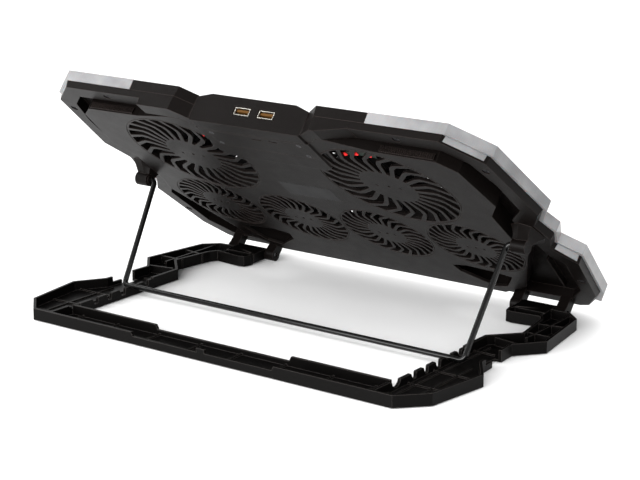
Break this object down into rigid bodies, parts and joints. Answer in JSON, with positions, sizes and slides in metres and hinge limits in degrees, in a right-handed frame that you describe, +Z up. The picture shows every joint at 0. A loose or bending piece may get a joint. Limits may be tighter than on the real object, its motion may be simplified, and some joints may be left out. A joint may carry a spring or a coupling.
{
  "type": "laptop cooling pad",
  "caption": "Folding laptop cooling pad: a hollow deck with six fans, light strips and two sockets, leaning on a wire bail over a notched floor frame.",
  "frame": {"origin": "centre of the bounding box's bottom, on the surface the feet stand on", "axes": "+X to the user's right along the hinge axis, +Y from the user to the rear, +Z up"},
  "size_m": [0.3986, 0.2593, 0.1808],
  "materials": {
    "shell": "matte charcoal moulded plastic",
    "base": "satin black moulded plastic",
    "wire": "gloss black coated steel wire",
    "steel": "plain steel",
    "screw": "black zinc screws",
    "light_guide": "frosted translucent plastic, unlit",
    "rubber": "soft black rubber",
    "socket_metal": "nickel plated steel",
    "tongue": "amber plastic",
    "board": "green circuit board",
    "rotor": "black moulded fan",
    "label": "blank dark grey label",
    "mesh": "black painted steel mesh",
    "led": "red lamp"
  },
  "bodies": {
    "base": {"base_frame": "base", "base_feet": "rubber", "hinge_pin_left": "steel", "hinge_pin_right": "steel"},
    "deck": {"bottom_shell": "shell", "fan_panel": "shell", "top_shell": "shell", "mesh_plate": "mesh", "top_pads": "rubber", "usb_housing": "shell", "usb_shell_left": "socket_metal", "usb_shell_right": "socket_metal", "usb_tongue_left": "tongue", "usb_tongue_right": "tongue", "control_board": "board", "button_board": "board", "light_guide_left": "light_guide", "light_guide_right": "light_guide", "led_board_left": "board", "led_board_right": "board", "side_lens_left": "light_guide", "side_lens_right": "light_guide", "vent_bar_left": "shell", "vent_bar_right": "shell", "rating_plate": "label", "service_cover": "shell", "case_screws": "screw", "cover_screws": "screw", "motor_screws": "screw", "fan_leds": "led", "fan_led_strips": "board", "pivot_ear_left": "shell", "pivot_ear_right": "shell", "fan_motor_1": "rotor", "fan_motor_2": "rotor", "fan_motor_3": "rotor", "fan_motor_4": "rotor", "fan_motor_5": "rotor", "fan_motor_6": "rotor"},
    "bail": {"bail_wire": "wire"},
    "fan_1": {"fan_rotor_1": "rotor"},
    "fan_2": {"fan_rotor_2": "rotor"},
    "fan_3": {"fan_rotor_3": "rotor"},
    "fan_4": {"fan_rotor_4": "rotor"},
    "fan_5": {"fan_rotor_5": "rotor"},
    "fan_6": {"fan_rotor_6": "rotor"},
    "speed_button": {"speed_button": "rotor"},
    "light_button": {"light_button": "rotor"},
    "stop_left": {"stop_left": "shell"},
    "stop_right": {"stop_right": "shell"}
  },
  "joints": [
    {"name": "deck_tilt", "type": "hinge", "parent": "base", "child": "deck", "pos_m": [0, -0.1057, 0.006], "axis": [1, 0, 0], "range_deg": [0, 32]},
    {"name": "bail_swing", "type": "hinge", "parent": "deck", "child": "bail", "pos_m": [0, -0.01049, 0.08072], "axis": [1, 0, 0], "range_deg": [0, 97]},
    {"name": "fan_1_spin", "type": "hinge", "parent": "deck", "child": "fan_1", "pos_m": [-0.0881, 0.02357, 0.12555], "axis": [0, -0.6136, 0.7896], "continuous": true},
    {"name": "fan_2_spin", "type": "hinge", "parent": "deck", "child": "fan_2", "pos_m": [0.0881, 0.02357, 0.12555], "axis": [0, -0.6136, 0.7896], "continuous": true},
    {"name": "fan_3_spin", "type": "hinge", "parent": "deck", "child": "fan_3", "pos_m": [-0.118, -0.04647, 0.07112], "axis": [0, -0.6136, 0.7896], "continuous": true},
    {"name": "fan_4_spin", "type": "hinge", "parent": "deck", "child": "fan_4", "pos_m": [-0.0388, -0.04931, 0.06891], "axis": [0, -0.6136, 0.7896], "continuous": true},
    {"name": "fan_5_spin", "type": "hinge", "parent": "deck", "child": "fan_5", "pos_m": [0.0388, -0.04931, 0.06891], "axis": [0, -0.6136, 0.7896], "continuous": true},
    {"name": "fan_6_spin", "type": "hinge", "parent": "deck", "child": "fan_6", "pos_m": [0.118, -0.04647, 0.07112], "axis": [0, -0.6136, 0.7896], "continuous": true},
    {"name": "speed_button_press", "type": "slide", "parent": "deck", "child": "speed_button", "axis": [0, 0.6136, -0.7896], "range_m": [0, 0.0012], "stiffness_N_per_m": 600, "springref_m": -0.001},
    {"name": "light_button_press", "type": "slide", "parent": "deck", "child": "light_button", "axis": [0, 0.6136, -0.7896], "range_m": [0, 0.0012], "stiffness_N_per_m": 600, "springref_m": -0.001},
    {"name": "stop_left_flip", "type": "hinge", "parent": "deck", "child": "stop_left", "pos_m": [-0.115, -0.12441, 0.0236], "axis": [1, 0, 0], "range_deg": [0, 95]},
    {"name": "stop_right_flip", "type": "hinge", "parent": "deck", "child": "stop_right", "pos_m": [0.115, -0.12441, 0.0236], "axis": [1, 0, 0], "range_deg": [0, 95]}
  ]
}
